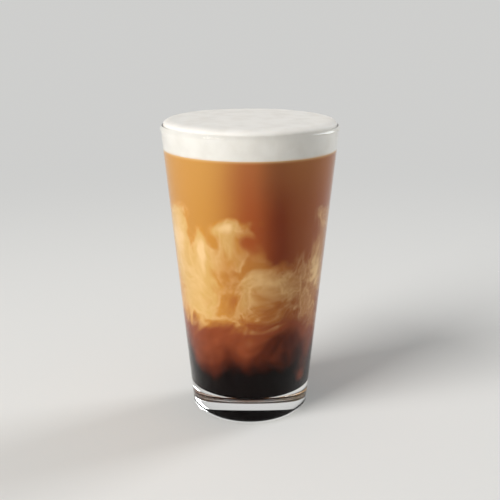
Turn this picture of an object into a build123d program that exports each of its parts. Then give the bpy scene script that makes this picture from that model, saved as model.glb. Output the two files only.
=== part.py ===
"""Layered cold coffee in a tall tapered glass, filled to the lip and capped with a dome of milk foam.

The glass is a turned form: a thick base with a shallow hollow underneath, a wall that thins towards the
top, and a rounded lip that stands a little proud of the wall. The coffee fills it in three layers, dark at
the bottom, clouded with milk in the middle and clear amber above, which meet at gently wavy surfaces.
The foam lies on the coffee, fills the rest of the glass and swells over the inner half of the lip.

Frame: millimetres, +Z up, the origin at the centre of the foot, on the surface that the glass stands on.
"""

from build123d import *
import math
import os

# Glass, outside
rim_height = 149.2
rim_radius = 44.45
foot_radius = 29.7  # where the line of the wall meets the ground
heel_round = 4.5
bead_proud = 0.25  # how far the lip stands out from the wall
bead_length = 4.0  # how far below the rim the wall starts to swell into it

# Glass, inside and underneath
lip_wall = 2.3
floor_wall = 3.6
base_thickness = 14.0
floor_round = 2.8
ring_width = 4.2  # flat that the glass stands on
ring_round = 0.8
kick_depth = 2.4  # hollow under the base

# Drink: the mean depths of its lowest and highest layers. The clouded layer fills the height between them.
dark_depth = 36.0
amber_depth = 29.6

# Swells of the surfaces between the layers, as (lobes round the glass, height, heading of a crest)
dark_swells = [(1, 1.5, 35.0), (2, 1.6, -150.0), (3, 1.3, 20.0)]
cloud_swells = [(1, 1.5, -60.0), (2, 5.0, -25.0), (3, 4.5, -20.0)]

# Foam: how deep it lies below the rim, then its widest edge just above the lip, its shoulder and its crown
foam_depth = 11.6
foam_lap = 0.9  # how far the foam reaches out over the lip
foam_tuck = 0.45  # how far its edge draws in again where it meets the lip
foam_edge_rise = 0.6
foam_shoulder_inset = 4.3
foam_shoulder_rise = 3.0
foam_crown_rise = 3.4

# Surfaces are drawn through a square grid this wide beyond the glass, with this many spans a side
wave_margin = 6.0
wave_spans = 14

wall_top_radius = rim_radius - bead_proud
inner_top_radius = wall_top_radius - lip_wall
lip_round = (lip_wall + bead_proud) / 2
lip_centre_height = rim_height - lip_round
drink_level = rim_height - foam_depth
dark_level = base_thickness + dark_depth
cloud_level = drink_level - amber_depth


def on_wall(height):
    """Outer radius of the straight wall at a height."""
    return foot_radius + (wall_top_radius - foot_radius) * height / lip_centre_height


def inner_floor_radius():
    """Radius where the inner wall would meet the floor if that corner were sharp."""
    return on_wall(base_thickness) - floor_wall


def inside_wall(height):
    """Inner radius of the straight wall at a height."""
    taper = (inner_top_radius - inner_floor_radius()) / (lip_centre_height - base_thickness)
    return inner_floor_radius() + taper * (height - base_thickness)


def ring_inner_radius():
    """Inner edge of the flat ring under the foot, inside the rounded heel."""
    lean = math.atan2(wall_top_radius - foot_radius, lip_centre_height)
    heel_length = heel_round / math.tan((math.pi / 2 + lean) / 2)
    return foot_radius - heel_length - ring_width


def nearest(section, radius, height):
    """The corner of a section that lies at a radius and a height."""
    return section.vertices().sort_by_distance((radius, height))[0]


def turned(section):
    """The solid that a section, drawn as radius and height, makes when it turns about the upright axis."""
    return revolve(Plane.XZ * section, Axis.Z).solid()


def make_glass():
    """The tumbler: foot ring, hollow underside, heel, tapered wall, rounded lip, inner wall and floor."""
    ring = ring_inner_radius()
    dome = (ring**2 + kick_depth**2) / (2 * kick_depth)
    dome_middle = kick_depth - dome + math.sqrt(dome**2 - (ring / 2) ** 2)
    wall_end = (on_wall(rim_height - bead_length), rim_height - bead_length)
    lip_outside = (rim_radius, lip_centre_height)
    lip_inside = (inner_top_radius, lip_centre_height)
    outline = [
        Line((ring, 0), (foot_radius, 0)),
        Line((foot_radius, 0), wall_end),
        Spline(wall_end, lip_outside, tangents=[(wall_top_radius - foot_radius, lip_centre_height), (0, 1)]),
        ThreePointArc(lip_outside, (rim_radius - lip_round, rim_height), lip_inside),
        Line(lip_inside, (inner_floor_radius(), base_thickness)),
        Line((inner_floor_radius(), base_thickness), (0, base_thickness)),
        Line((0, base_thickness), (0, kick_depth)),
        ThreePointArc((0, kick_depth), (ring / 2, dome_middle), (ring, 0)),
    ]
    section = make_face(Curve() + outline)
    section = fillet(nearest(section, foot_radius, 0), heel_round)
    section = fillet(nearest(section, inner_floor_radius(), base_thickness), floor_round)
    section = fillet(nearest(section, ring, 0), ring_round)
    return turned(section)


def make_filling():
    """Everything that the inside of the glass holds up to the surface of the drink."""
    corners = [
        (0, base_thickness),
        (inner_floor_radius(), base_thickness),
        (inside_wall(drink_level), drink_level),
        (0, drink_level),
    ]
    section = make_face(Polyline(corners, close=True))
    section = fillet(nearest(section, inner_floor_radius(), base_thickness), floor_round)
    return turned(section)


def wave_height(level, swells, x, y):
    """Height of a wavy surface. Each swell grows from nothing at the axis to its full height at the rim."""
    radius = math.hypot(x, y) / rim_radius
    heading = math.degrees(math.atan2(x, -y))
    rise = [height * radius**lobes * math.cos(math.radians(lobes * (heading - crest)))
            for lobes, height, crest in swells]
    return level + sum(rise)


def below(level, swells):
    """A block that reaches from under the foot up to a wavy surface across the whole glass."""
    half = rim_radius + wave_margin
    steps = [half * (2 * i / wave_spans - 1) for i in range(wave_spans + 1)]
    grid = [[(x, y, wave_height(level, swells, x, y)) for x in steps] for y in steps]
    surface = Face.make_surface_from_array_of_points(grid)
    return extrude(surface, amount=rim_height, dir=(0, 0, -1)).solid()


def make_drink():
    """The dark, clouded and amber layers, which share the surfaces where they meet."""
    filling = make_filling()
    under_clouds = below(dark_level, dark_swells)
    under_amber = below(cloud_level, cloud_swells)
    return {
        "dark_coffee": (filling & under_clouds).solid(),
        "clouded_coffee": ((filling & under_amber) - under_clouds).solid(),
        "amber_coffee": (filling - under_amber).solid(),
    }


def make_foam(glass):
    """The cap of foam: it fills the top of the glass, laps over the lip and rises to a low crown."""
    edge = (inner_top_radius + foam_lap, rim_height + foam_edge_rise)
    tucked = (edge[0] - foam_tuck, rim_height - foam_tuck)
    shoulder = (edge[0] - foam_shoulder_inset, rim_height + foam_shoulder_rise)
    shoulder_height = foam_shoulder_rise - foam_edge_rise
    crown = (0, rim_height + foam_crown_rise)
    in_wall = (inside_wall(drink_level) + lip_wall / 2, drink_level)
    in_lip = (inner_top_radius + lip_round / 2, lip_centre_height)
    outline = [
        Polyline((0, drink_level), in_wall, in_lip, tucked),
        TangentArc(edge, tucked, tangent=(0, -1)),
        EllipticalCenterArc((shoulder[0], edge[1]), foam_shoulder_inset, shoulder_height, start_angle=0, arc_size=90),
        Bezier(shoulder, (shoulder[0] * 0.6, shoulder[1]), (shoulder[0] * 0.4, crown[1]), crown),
        Line(crown, (0, drink_level)),
    ]
    return (turned(make_face(Curve() + outline)) - glass).solid()


def main():
    os.makedirs("parts", exist_ok=True)
    glass = make_glass()
    pieces = {"glass": glass, **make_drink(), "milk_foam": make_foam(glass)}
    for node, solid in pieces.items():
        solid.label = node
        export_step(solid, f"parts/{node}.step")
        print(f"{node}: {solid.volume / 1000:.1f} ml")


main()
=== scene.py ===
"""Looks of a layered cold coffee in a tall tapered glass, under a cap of milk foam.

Metres, with +Z up and the front towards -Y. A heading is an angle about the upright axis, from 0 at the front
towards +X. The materials work in millimetres above the foot and in degrees of heading.
"""

import math

import bpy
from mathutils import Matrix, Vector, noise


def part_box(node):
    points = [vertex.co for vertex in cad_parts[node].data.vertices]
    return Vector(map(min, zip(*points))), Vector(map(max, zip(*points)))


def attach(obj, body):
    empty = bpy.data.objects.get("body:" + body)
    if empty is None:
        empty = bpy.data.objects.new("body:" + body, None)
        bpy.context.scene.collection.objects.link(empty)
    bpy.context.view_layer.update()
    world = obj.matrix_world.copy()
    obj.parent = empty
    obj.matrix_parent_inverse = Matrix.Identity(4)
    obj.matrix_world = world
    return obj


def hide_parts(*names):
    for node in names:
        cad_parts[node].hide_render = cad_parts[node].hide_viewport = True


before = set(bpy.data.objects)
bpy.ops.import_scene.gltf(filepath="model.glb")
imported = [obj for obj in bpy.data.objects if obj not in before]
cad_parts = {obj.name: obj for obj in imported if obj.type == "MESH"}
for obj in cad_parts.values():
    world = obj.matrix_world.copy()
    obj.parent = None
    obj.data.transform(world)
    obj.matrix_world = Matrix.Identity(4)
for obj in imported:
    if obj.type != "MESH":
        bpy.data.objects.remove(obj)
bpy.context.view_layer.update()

MM = 0.001
glass_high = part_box("glass")[1]
foam_low, foam_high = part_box("milk_foam")
coffee_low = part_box("dark_coffee")[0]

# Glass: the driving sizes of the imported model, and what follows from them
rim_height = glass_high.z
rim_radius = glass_high.x
foot_radius = 29.7 * MM
heel_round = 4.5 * MM
bead_proud = 0.25 * MM
bead_length = 4.0 * MM
lip_wall = 2.3 * MM
floor_wall = 3.6 * MM
floor_height = coffee_low.z
floor_round = 2.8 * MM
ring_width = 4.2 * MM
ring_round = 0.8 * MM
kick_depth = 2.4 * MM
wall_top_radius = rim_radius - bead_proud
inner_top_radius = wall_top_radius - lip_wall
lip_round = (lip_wall + bead_proud) / 2
lip_centre_height = rim_height - lip_round

# Levels of the drink
drink_level = foam_low.z
dark_level = floor_height + 36.0 * MM
cloud_level = drink_level - 29.6 * MM

# Foam
foam_edge_radius = foam_high.x
foam_crown = foam_high.z
foam_edge_rise = 0.6 * MM
foam_shoulder_inset = 4.3 * MM
foam_shoulder_rise = 3.0 * MM
foam_tuck = 0.45 * MM

# What fills the glass reaches this far into its wall, so that no air shows between them
overlap = 0.06 * MM

# Fineness of the turned meshes: steps round, and a layer's steps out to the wall and up it
turns = 240
rings = 10
rows = 24

# Fineness of two smooth curves: the lip's swell and the foam's crown
bead_steps = 8
crown_steps = 40

# A point of an outline nearer to the axis than this lies on it
on_axis = 1e-7

# The angle in degrees past which an edge of a mesh is shaded sharp
crease = 40


def wall_radius(height):
    """Outer radius of the straight wall at a height."""
    return foot_radius + (wall_top_radius - foot_radius) * height / lip_centre_height


inner_floor_radius = wall_radius(floor_height) - floor_wall


def inside_wall(height):
    """Inner radius of the straight wall at a height."""
    taper = (inner_top_radius - inner_floor_radius) / (lip_centre_height - floor_height)
    return inner_floor_radius + taper * (height - floor_height)


# ---------------------------------------------------------------- outlines and turned meshes

def arc(centre, radius, start, end, steps):
    """Points on an arc of a circle, or of an ellipse if radius is a pair, between two angles in degrees."""
    wide, high = radius if isinstance(radius, tuple) else (radius, radius)
    angles = [math.radians(start + (end - start) * i / steps) for i in range(steps + 1)]
    return [(centre[0] + wide * math.cos(a), centre[1] + high * math.sin(a)) for a in angles]


def line(start, end, steps):
    """Points from start up to but not including end."""
    return [(start[0] + (end[0] - start[0]) * i / steps, start[1] + (end[1] - start[1]) * i / steps)
            for i in range(steps)]


def ease(share):
    """0 at 0 and 1 at 1, level at both ends."""
    return (3 - 2 * share) * share**2


def rounded(before, corner, after, radius, steps):
    """An arc that rounds the corner between two straight runs."""
    a, b, c = Vector(before), Vector(corner), Vector(after)
    to_a, to_c = (a - b).normalized(), (c - b).normalized()
    half = to_a.angle(to_c) / 2
    centre = b + (to_a + to_c).normalized() * (radius / math.sin(half))
    first, last = b + to_a * radius / math.tan(half) - centre, b + to_c * radius / math.tan(half) - centre
    start = math.degrees(math.atan2(first.y, first.x))
    turn = math.degrees(math.atan2(first.x * last.y - first.y * last.x, first.dot(last)))
    return arc(centre, radius, start, start + turn, steps)


def turned_point(radius, height, heading):
    """The place of an outline's point that has turned to a heading in radians."""
    return (radius * math.sin(heading), -radius * math.cos(heading), height)


def turned(name, outline_at):
    """A mesh through the outlines at every heading. outline_at(heading) gives (radius, height) points, which
    run from the axis at the bottom, up the outside, and back to the axis."""
    headings = [math.tau * i / turns for i in range(turns)]
    vertices, loops = [], []
    for loop in zip(*(outline_at(heading) for heading in headings)):
        count = 1 if loop[0][0] < on_axis else turns
        loops.append(range(len(vertices), len(vertices) + count))
        vertices += [turned_point(*loop[i], headings[i]) for i in range(count)]
    faces = []
    for low, high in zip(loops, loops[1:]):
        for i in range(turns):
            j = (i + 1) % turns
            if len(low) == 1:
                faces.append((low[0], high[j], high[i]))
            elif len(high) == 1:
                faces.append((low[i], low[j], high[0]))
            else:
                faces.append((low[i], low[j], high[j], high[i]))
    mesh = bpy.data.meshes.new(name)
    mesh.from_pydata(vertices, [], faces)
    mesh.shade_smooth()
    mesh.set_sharp_from_angle(angle=math.radians(crease))
    return added(name, mesh)


def added(name, data):
    """An object in the scene with this mesh, lamp or lens."""
    piece = bpy.data.objects.new(name, data)
    bpy.context.scene.collection.objects.link(piece)
    return piece


# ---------------------------------------------------------------- shader expressions

class Signal:
    """A shader socket that Python expressions can work on. Each operation adds its Math node."""

    def __init__(self, paint, socket):
        self.paint = paint
        self.socket = socket

    def math(self, operation, *others):
        """This value and any others through one Math node."""
        return self.paint.add("Math", {"operation": operation}, dict(enumerate((self,) + others)))

    def __add__(self, other):
        return self.math("ADD", other)

    __radd__ = __add__

    def __sub__(self, other):
        return self.math("SUBTRACT", other)

    def __rsub__(self, other):
        return self * -1 + other

    def __mul__(self, other):
        return self.math("MULTIPLY", other)

    __rmul__ = __mul__

    def __truediv__(self, other):
        return self.math("DIVIDE", other)

    def highest(self, other):
        """The larger of the two."""
        return self.math("MAXIMUM", other)

    def bell(self, centre, width):
        """1 at a value, fading to nothing at a few widths to either side."""
        away = (self - centre) / width
        return (away * away * -1).math("EXPONENT")

    def step(self, low, high):
        """0 below low, 1 above high and smooth between. It falls instead where low is above high."""
        return self.paint.add("MapRange", {"interpolation_type": "SMOOTHSTEP"},
                              {"Value": self, "From Min": low, "From Max": high})


class Paint:
    """The nodes of a material or of the world, with one method that adds any node."""

    def __init__(self, owner):
        owner.use_nodes = True
        self.owner = owner
        self.tree = owner.node_tree
        self.tree.nodes.clear()

    def add(self, kind, settings=None, inputs=None, output=0):
        """Adds a node: its settings first, then the value or link of each of its inputs."""
        node = self.tree.nodes.new("ShaderNode" + kind)
        for name, value in (settings or {}).items():
            if name == "stops":
                self.stops(node.color_ramp, value)
            else:
                setattr(node, name, value)
        for name, value in (inputs or {}).items():
            if isinstance(value, Signal):
                self.tree.links.new(value.socket, node.inputs[name])
            else:
                node.inputs[name].default_value = value
        return Signal(self, node.outputs[output]) if node.outputs else node

    def stops(self, ramp, values):
        """Sets a ramp's colours from (position, colour) pairs."""
        ramp.interpolation = "EASE"
        while len(ramp.elements) < len(values):
            ramp.elements.new(1.0)
        for element, (position, colour) in zip(ramp.elements, values):
            element.position = position
            element.color = (*colour, 1.0)

    def mix(self, share, first, second):
        """A blend of two colours. Sockets 6, 7 and 2 are the Mix node's two colours and its blend."""
        first, second = (c if isinstance(c, Signal) else (*c, 1.0) for c in (first, second))
        return self.add("Mix", {"data_type": "RGBA", "clamp_factor": True},
                        {0: share, 6: first, 7: second}, output=2)

    def vector(self, operation, first, second):
        """One Vector Math node on two vectors."""
        return self.add("VectorMath", {"operation": operation}, {0: first, 1: second})

    def place(self):
        """Where a point of the surface lies, in millimetres."""
        return self.add("VectorMath", {"operation": "SCALE"},
                        {0: self.add("TexCoord", output="Object"), "Scale": 1 / MM})

    def split(self, vector):
        """The x, y and z of a vector."""
        return [Signal(self, part) for part in self.add("SeparateXYZ", None, {0: vector}).socket.node.outputs]

    def drift(self, place, eddies):
        """A place carried off by eddies of (size, reach, seed), by up to about half of each reach."""
        for size, reach, seed in eddies:
            noise_colour = self.add("TexNoise", {"noise_dimensions": "4D"}, {
                "Vector": place, "W": seed, "Scale": 1 / size, "Detail": 1.5}, output="Color")
            push = self.vector("SUBTRACT", noise_colour, (0.5, 0.5, 0.5))
            place = self.vector("ADD", place, self.vector("MULTIPLY", push, reach))
        return place

    def cloud(self, place, size, detail, roughness, seed):
        """Soft noise of a size in millimetres, about 0.5."""
        return self.add("TexNoise", {"noise_dimensions": "4D"}, {
            "Vector": place, "W": seed, "Scale": 1 / size, "Detail": detail, "Roughness": roughness})

    def shown(self, shader, output="OutputMaterial"):
        """Sets what the material or world shows, and gives the material or world."""
        self.add(output, None, {"Surface": shader})
        return self.owner


def new_paint(name):
    """The nodes of a new material."""
    return Paint(bpy.data.materials.new(name))


def fit(piece, material, slot_name, *nodes):
    """Gives a finished piece its material and its body, and hides the imported parts that it stands for.
    slot_name is not used.
    """
    piece.data.materials.append(material)
    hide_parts(*nodes)
    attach(piece, "root")


# ---------------------------------------------------------------- glass

def floor_corner():
    """The rounded corner between the floor of the glass and its inner wall."""
    return rounded((0, floor_height), (inner_floor_radius, floor_height),
                   (inner_top_radius, lip_centre_height), floor_round, 12)


def glass_outline():
    """Foot hollow, ring, heel, wall, swelling lip, inner wall and floor, from the axis back to the axis."""
    lean = math.atan2(wall_top_radius - foot_radius, lip_centre_height)
    ring = foot_radius - heel_round / math.tan((math.pi / 2 + lean) / 2) - ring_width
    dome = (ring**2 + kick_depth**2) / (2 * kick_depth)
    slope = math.degrees(math.asin(ring / dome))
    hollow = arc((0, kick_depth - dome), dome, 90, 90 - slope * 0.97, 24)
    swell = (wall_radius(rim_height - bead_length), rim_height - bead_length)
    heel = rounded((ring, 0), (foot_radius, 0), swell, heel_round, 16)
    bead = [(swell[0] + (rim_radius - swell[0]) * ease(i / bead_steps),
             swell[1] + (lip_centre_height - swell[1]) * i / bead_steps) for i in range(bead_steps)]
    corner = floor_corner()[::-1]
    return (hollow
            + rounded(hollow[-1], (ring, 0), (foot_radius, 0), ring_round / 2, 5)
            + heel
            + line(heel[-1], swell, 40)[1:]
            + bead
            + arc((rim_radius - lip_round, lip_centre_height), lip_round, 0, 180, 20)
            + line((inner_top_radius, lip_centre_height), corner[0], 40)[1:]
            + corner
            + line(corner[-1], (0, floor_height), 8)[1:]
            + [(0, floor_height)])


def glass_tumbler():
    """The whole glass, one closed wall."""
    outline = glass_outline()
    return turned("clear_glass_tumbler", lambda heading: outline)


def clear_glass():
    """Polished clear glass. Lamps and light scattered by the drink pass straight through it."""
    paint = new_paint("clear_glass")
    solid = paint.add("BsdfPrincipled", None, {
        "Base Color": (0.99, 0.994, 0.988, 1), "Roughness": 0.012, "IOR": 1.5, "Specular IOR Level": 0.3,
        "Specular Tint": (0.2, 0.2, 0.2, 1), "Transmission Weight": 1.0})
    passing = paint.add("BsdfTransparent", None, {"Color": (0.93, 0.93, 0.915, 1)})
    lamps = paint.add("LightPath", output="Is Shadow Ray")
    scattered = paint.add("LightPath", output="Is Diffuse Ray")
    return paint.shown(paint.add("MixShader", None, {0: lamps.highest(scattered), 1: solid, 2: passing}))


# ---------------------------------------------------------------- coffee layers

# Swells of the wavy surfaces between layers, as (lobes round the glass, height, heading of a crest)
dark_swells = [(1, 1.5 * MM, 35.0), (2, 1.6 * MM, -150.0), (3, 1.3 * MM, 20.0)]
cloud_swells = [(1, 1.5 * MM, -60.0), (2, 5.0 * MM, -25.0), (3, 4.5 * MM, -20.0)]


def swell_height(swells, radius, heading):
    """How far a wavy surface between two layers stands above its mean height."""
    share = radius / rim_radius
    return sum(height * share**lobes * math.cos(lobes * (heading - math.radians(crest)))
               for lobes, height, crest in swells)


def surface(level, swells, heading):
    """A surface of the drink at a level, from just inside the wall to the axis."""
    points = []
    for i in range(rings, -1, -1):
        share = i / rings
        height = level + swell_height(swells, inside_wall(level) * share, heading)
        points.append(((inside_wall(height) + overlap) * share, height))
    return points


def side(start, end):
    """The drink's side between two heights, just inside the wall."""
    heights = [start + (end - start) * i / rows for i in range(1, rows)]
    return [(inside_wall(height) + overlap, height) for height in heights]


def layer(name, low, low_swells, high, high_swells):
    """A layer of the drink that lies on another one."""
    def outline_at(heading):
        bottom = surface(low, low_swells, heading)[::-1]
        top = surface(high, high_swells, heading)
        return bottom + side(bottom[-1][1], top[0][1]) + top

    return turned(name, outline_at)


def bottom_layer(name, high, high_swells):
    """The layer that lies on the floor of the glass and follows the floor's rounded corner."""
    corner = floor_corner()
    flat = line((0, floor_height), corner[0], 10)
    base = [(radius, height - overlap) for radius, height in flat + corner[:1]]
    base += [(radius + overlap, height - overlap) for radius, height in corner[1:]]

    def outline_at(heading):
        top = surface(high, high_swells, heading)
        return base + side(corner[-1][1], top[0][1]) + top

    return turned(name, outline_at)


# ---------------------------------------------------------------- coffee colours

# Painted light and shade: gold, orange_brown, red_brown and russet run from the key-lit left of the drink to
# its shaded right and its edge-lit right edge, and ochre and tan give way to russet and brown_tan in the same
# way
gold = (0.58, 0.27, 0.056)
orange_brown = (0.37, 0.085, 0.022)
red_brown = (0.21, 0.040, 0.013)
deep_red = (0.27, 0.062, 0.022)
dark_red = (0.10, 0.018, 0.007)
near_black = (0.004, 0.002, 0.002)
ochre = (0.62, 0.28, 0.05)
russet = (0.34, 0.095, 0.03)
tan = (0.70, 0.42, 0.135)
brown_tan = (0.47, 0.20, 0.072)
cream = (0.84, 0.56, 0.27)
stain = (0.72, 0.42, 0.16)

# Eddies that draw out the swirls, those that curl their edges, and those that bend the plumes
swirl_eddies = [(44, (34, 34, 34), 1.7), (18, (14, 14, 14), 5.2)]
curl_eddies = [(8, (4, 4, 4), 3.1)]
plume_eddies = [(26, (13, 13, 11), 2.4), (10, (6.5, 6.5, 6.5), 8.8)]

# Plumes of milk (above 0) and of clear coffee (below 0) as (heading, height, width, tallness, strength).
# The first ones lie round the front, and the rest carry on round the back.
plumes = [
    (-64, 98, 13, 20, 0.46), (-50, 101, 4, 10, -0.12), (-41, 95, 4.5, 13, 0.38), (-17, 104, 12, 3.6, 0.36),
    (-26, 97, 14, 7, 0.10), (-30, 88, 8, 7, 0.10), (-48, 76, 16, 12, 0.18), (-46, 60, 20, 8, 0.12),
    (-22, 77, 12, 12, -0.10), (12, 77, 20, 12, 0.24), (36, 68, 24, 10, 0.14), (62, 88, 11, 24, 0.44),
    (30, 101, 26, 11, -0.30), (-4, 95, 9, 6, -0.10), (10, 108, 5, 2.5, 0.16),
    (100, 100, 24, 12, 0.22), (128, 74, 26, 14, 0.2), (150, 108, 16, 8, 0.28), (176, 82, 18, 16, 0.24),
    (-150, 98, 20, 14, 0.24), (-120, 70, 24, 12, 0.2), (-98, 112, 14, 7, 0.26), (-172, 112, 10, 8, -0.2),
]

# Painted glow of light through the coffee, at the left and the lower right in front and carried on round the
# back: places where red-brown reaches down into the dark, as (heading, height, width, tallness, rise)
painted_glows = [
    (-42, 32, 16, 10, 9), (58, 22, 10, 5, 20), (34, 46, 24, 9, -6), (136, 34, 22, 10, 10),
    (-128, 28, 18, 9, 10),
]


def milk_share(near_heading, near_height, streaks, wisps):
    """How milky the coffee is: drawn-out noise, lifted by the plumes and thinned above the clouds."""
    density = streaks * 0.85 + wisps * 0.2 - 0.03
    for crest, level, width, tallness, strength in plumes:
        turn = near_heading - crest
        if abs(crest) > 90:
            turn = (turn + 540).math("FLOORED_MODULO", 360) - 180
        density = density + turn.bell(0, width) * near_height.bell(level, tallness) * strength
    below_clear = near_height.step(120, 106) * 0.75 + 0.25
    return density * below_clear + near_height.bell(70, 26) * 0.06


def clear_coffee(paint, painted_light_across, height):
    """Coffee without milk: amber on the left flank, redder and deeper on the right, lighter again at the far
    right edge, and a little paler high up. The left-to-right change is painted light: the key lamp on the
    left shining through the drink, shade on the right, and the edge lamp at the right edge.
    """
    # Painted light: warm gold on the left where the key lamp shines through the drink, deep red-brown in the
    # shade on the right, and a little lighter at the right edge under the edge lamp
    lit_and_shaded_flanks = paint.add("ValToRGB", {"stops": [
        (0.0, gold), (0.5, orange_brown), (0.78, red_brown), (1.0, russet)]}, {0: painted_light_across})
    return paint.mix(height.step(106, drink_level / MM + 4) * 0.16, lit_and_shaded_flanks, stain)


def milky_coffee(paint, clear, painted_light_across, height, milk, streaks, wisps):
    """Milk through clear coffee: ochre, then tan, then cream, with pale veins and a pale line at the foam.
    Ochre and tan on the left turn to russet and brown-tan on the right as painted light and shade.
    """
    # The milky colours also go from the lit left to the shaded right: painted light and shade
    pale = paint.mix(milk.step(0.40, 0.58), clear, paint.mix(painted_light_across, ochre, russet))
    pale = paint.mix(milk.step(0.55, 0.74), pale, paint.mix(painted_light_across, tan, brown_tan))
    veins = streaks.bell(0.52, 0.035) + wisps.bell(0.5, 0.04) * 0.5
    pale = paint.mix(veins * milk.step(0.42, 0.62) * 0.28, pale, cream)
    pale = paint.mix(milk.step(0.76, 1.0), pale, cream)
    return paint.mix(height.step(drink_level / MM - 1.5, drink_level / MM + 0.3) * 0.6, pale, cream)


def dark_bottom(paint, upper, heading, height, near_height, streaks, wisps):
    """Near-black at the bottom, then dark red, then red-brown streaks that reach up into the clouds, and
    patches of painted glow of light through the coffee that reach down into the dark.
    """
    level = height * 0.6 + near_height * 0.4 + (streaks - 0.5) * 30 + (wisps - 0.5) * 10
    # Painted glow: light shining through the coffee, painted as red-brown that reaches down into the dark
    for crest, middle, width, tallness, rise in painted_glows:
        level = level + (heading - crest).bell(0, width) * height.bell(middle, tallness) * rise
    colour = paint.mix(level.step(47, 58), deep_red, upper)
    colour = paint.mix(level.step(34, 49), dark_red, colour)
    return paint.mix(level.step(26, 39), near_black, colour)


def heading_of(x, y):
    """The heading of a place in degrees."""
    return x.math("ARCTAN2", y * -1) * (180 / math.pi)


def swirled_coffee():
    """Coffee that clears from near-black through drawn-out clouds of milk to amber."""
    paint = new_paint("swirled_coffee")
    place = paint.place()
    x, y, height = paint.split(place)
    near_x, near_y, near_height = paint.split(paint.drift(place, plume_eddies))
    swirled = paint.drift(place, swirl_eddies)
    curled = paint.drift(swirled, curl_eddies)
    streaks = paint.cloud(curled, size=17, detail=3, roughness=0.48, seed=0.6)
    wisps = paint.cloud(curled, size=5.5, detail=3, roughness=0.5, seed=4.4)

    milk = milk_share(heading_of(near_x, near_y), near_height, streaks, wisps)
    # 0 on the left, where the key lamp shines through the drink, to 1 on the shaded right: this drives
    # painted light and shade
    painted_light_across = (x + paint.split(swirled)[0] * 0.25).step(-38, 40)
    clear = clear_coffee(paint, painted_light_across, height)
    milky = milky_coffee(paint, clear, painted_light_across, height, milk, streaks, wisps)
    colour = dark_bottom(paint, milky, heading_of(x, y), height, near_height, streaks, wisps)
    return paint.shown(paint.add("BsdfPrincipled", None, {
        "Base Color": colour, "Roughness": 0.5, "IOR": 1.33, "Specular IOR Level": 0.0}))


# ---------------------------------------------------------------- foam

foam_white = (0.84, 0.82, 0.785)
foam_shade = (0.78, 0.755, 0.715)


def foam_outline():
    """The foam's side in the glass, its lap over the lip, its shoulder and its low crown."""
    edge = (foam_edge_radius, rim_height + foam_edge_rise)
    shoulder = (edge[0] - foam_shoulder_inset, rim_height + foam_shoulder_rise)
    wall_foot = (inside_wall(drink_level) + overlap, drink_level)
    wall_head = (inside_wall(lip_centre_height) + overlap, lip_centre_height)
    lap = (edge[0] - foam_tuck, rim_height - foam_tuck)
    lap_end = (edge[0] - foam_tuck * 0.3, rim_height)
    shares = [i / crown_steps for i in range(1, crown_steps + 1)]
    crown = [(shoulder[0] * (1 - share), shoulder[1] + (foam_crown - shoulder[1]) * ease(share))
             for share in shares]
    return (line((0, drink_level), wall_foot, 20)
            + line(wall_foot, wall_head, 16)
            + line(wall_head, lap, 4)
            + line(lap, lap_end, 3)
            + arc((shoulder[0], edge[1]), (foam_shoulder_inset, shoulder[1] - edge[1]), -8, 90, 18)
            + crown)


def unevenness(radius, height, heading):
    """How far the foam's free top stands above its outline. In the glass it is 0."""
    free = min(1.0, max(0.0, (height - rim_height) / foam_shoulder_rise))
    here = Vector(turned_point(radius, height, heading)) / MM
    return (noise.noise(here / 16) * 0.08 + noise.noise(here / 5) * 0.03) * MM * free


def foam_cap():
    """The cap of foam, with a slightly uneven top."""
    outline = foam_outline()
    return turned("foam_cap", lambda heading: [
        (radius, height + unevenness(radius, height, heading)) for radius, height in outline])


def whipped_foam():
    """Dense milk foam with fine bubbles, faintly stained where it lies on the coffee."""
    paint = new_paint("whipped_foam")
    place = paint.place()
    mottle = paint.cloud(place, size=9, detail=3, roughness=0.55, seed=1.1)
    height = paint.split(paint.drift(place, [(6, (1.2, 1.2, 1.2), 2.0)]))[2]
    colour = paint.mix(mottle.step(0.35, 0.7), foam_white, foam_shade)
    colour = paint.mix(height.step(drink_level / MM + 1.2, drink_level / MM - 0.6) * 0.55, colour, stain)
    cells = paint.add("TexVoronoi", {"feature": "SMOOTH_F1"}, {
        "Vector": place, "Scale": 1.6, "Smoothness": 0.3})
    fine = paint.cloud(place, size=0.9, detail=2, roughness=0.6, seed=6.0)
    bump = paint.add("Bump", None, {"Strength": 0.25, "Distance": 0.08 * MM, "Height": cells * 0.6 + fine})
    return paint.shown(paint.add("BsdfPrincipled", None, {
        "Base Color": colour, "Roughness": 0.62, "Normal": bump, "Specular IOR Level": 0.3,
        "Subsurface Weight": 0.25, "Subsurface Radius": (1.0, 0.9, 0.8), "Subsurface Scale": 1.6 * MM}))


# ---------------------------------------------------------------- stage, light and camera

# The floor reaches this far to each side
floor_reach = 60.0
floor_colour = (0.80, 0.80, 0.79, 1)
backdrop_colour = (0.62, 0.62, 0.61, 1)
ambient_colour = (1, 0.99, 0.97, 1)
ambient_strength = 0.20

# How far from the glass the floor's shading starts to give way to the even backdrop, and where it ends
fade_start = 0.16
fade_end = 0.75

# Lamps, from the middle of the glass
lamp_distance = 3.0

# Camera: its place, how many degrees it looks down, and its lens and film width in millimetres
camera_place = (0.0, -0.450, 0.2108)
camera_drop = 15.69
camera_lens = 65.4
camera_film = 36.0


def in_view(paint):
    """1 for what the camera sees, straight or by way of a reflection or of the glass."""
    seen = paint.add("LightPath", output="Is Camera Ray")
    seen = seen.highest(paint.add("LightPath", output="Is Glossy Ray"))
    return seen.highest(paint.add("LightPath", output="Is Transmission Ray"))


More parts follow.
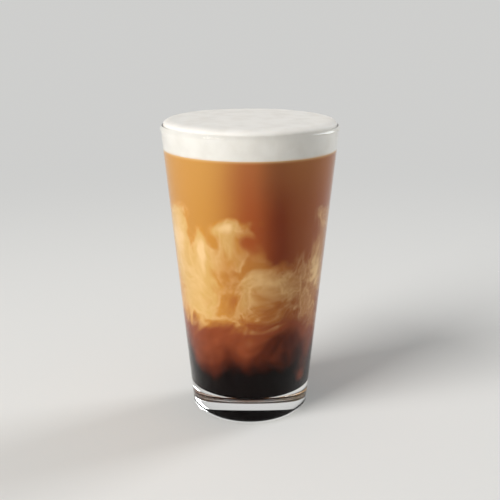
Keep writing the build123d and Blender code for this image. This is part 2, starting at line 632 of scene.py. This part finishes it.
def pale_floor():
    """Pale and matt round the glass, and as even as the backdrop farther off."""
    paint = new_paint("pale_floor")
    away = paint.add("VectorMath", {"operation": "LENGTH"}, {
        0: paint.add("TexCoord", output="Object")}, output="Value")
    lit = paint.add("BsdfPrincipled", None, {
        "Base Color": floor_colour, "Roughness": 0.9, "Specular IOR Level": 0.1})
    even = paint.add("Emission", None, {"Color": backdrop_colour})
    return paint.shown(paint.add("MixShader", None, {
        0: away.step(fade_start, fade_end) * in_view(paint), 1: lit, 2: even}))


def make_floor():
    """A plain floor far wider than the view."""
    mesh = bpy.data.meshes.new("floor")
    corners = [(-1, -1), (1, -1), (1, 1), (-1, 1)]
    mesh.from_pydata([(x * floor_reach, y * floor_reach, 0) for x, y in corners], [], [(0, 1, 2, 3)])
    mesh.materials.append(pale_floor())
    floor = added("floor", mesh)


def surroundings():
    """Even pale light from all round, with the backdrop behind what is seen."""
    world = bpy.data.worlds.new("studio")
    bpy.context.scene.world = world
    paint = Paint(world)
    ambient = paint.add("Background", None, {"Color": ambient_colour, "Strength": ambient_strength})
    backdrop = paint.add("Background", None, {"Color": backdrop_colour})
    paint.shown(paint.add("MixShader", None, {0: in_view(paint), 1: ambient, 2: backdrop}), "OutputWorld")


def softbox(name, heading, rise, size, power, colour):
    """A rectangular lamp that faces the middle of the glass from a heading and a height in degrees."""
    lamp = bpy.data.lights.new(name, "AREA")
    lamp.shape = "RECTANGLE"
    lamp.size, lamp.size_y = size
    lamp.energy = power
    lamp.color = colour
    holder = added(name, lamp)
    turn, lift = math.radians(heading), math.radians(rise)
    away = Vector(turned_point(math.cos(lift), math.sin(lift), turn))
    holder.location = Vector((0, 0, rim_height / 2)) + away * lamp_distance
    holder.rotation_euler = away.to_track_quat("Z", "Y").to_euler()


def make_camera():
    """A camera close in front of the glass that looks slightly down on it."""
    lens = bpy.data.cameras.new("camera")
    lens.lens = camera_lens
    lens.sensor_width = camera_film
    lens.clip_start = 0.01
    camera = added("camera", lens)
    camera.location = camera_place
    camera.rotation_euler = (math.radians(90 - camera_drop), 0, 0)
    bpy.context.scene.camera = camera


make_camera()
make_floor()
surroundings()
softbox("key_lamp", heading=-52, rise=32, size=(1.5, 2.5), power=100, colour=(1.0, 0.985, 0.96))
softbox("edge_lamp", heading=122, rise=22, size=(1.0, 2.3), power=53, colour=(0.97, 0.99, 1.0))
bpy.context.scene.view_settings.view_transform = "Standard"

coffee = swirled_coffee()
fit(glass_tumbler(), clear_glass(), "clear_glass", "glass")
fit(bottom_layer("dark_coffee_layer", dark_level, dark_swells), coffee, "dark_coffee", "dark_coffee")
fit(layer("clouded_coffee_layer", dark_level, dark_swells, cloud_level, cloud_swells), coffee,
    "clouded_coffee", "clouded_coffee")
fit(layer("amber_coffee_layer", cloud_level, cloud_swells, drink_level, []), coffee,
    "amber_coffee", "amber_coffee")
fit(foam_cap(), whipped_foam(), "milk_foam", "milk_foam")
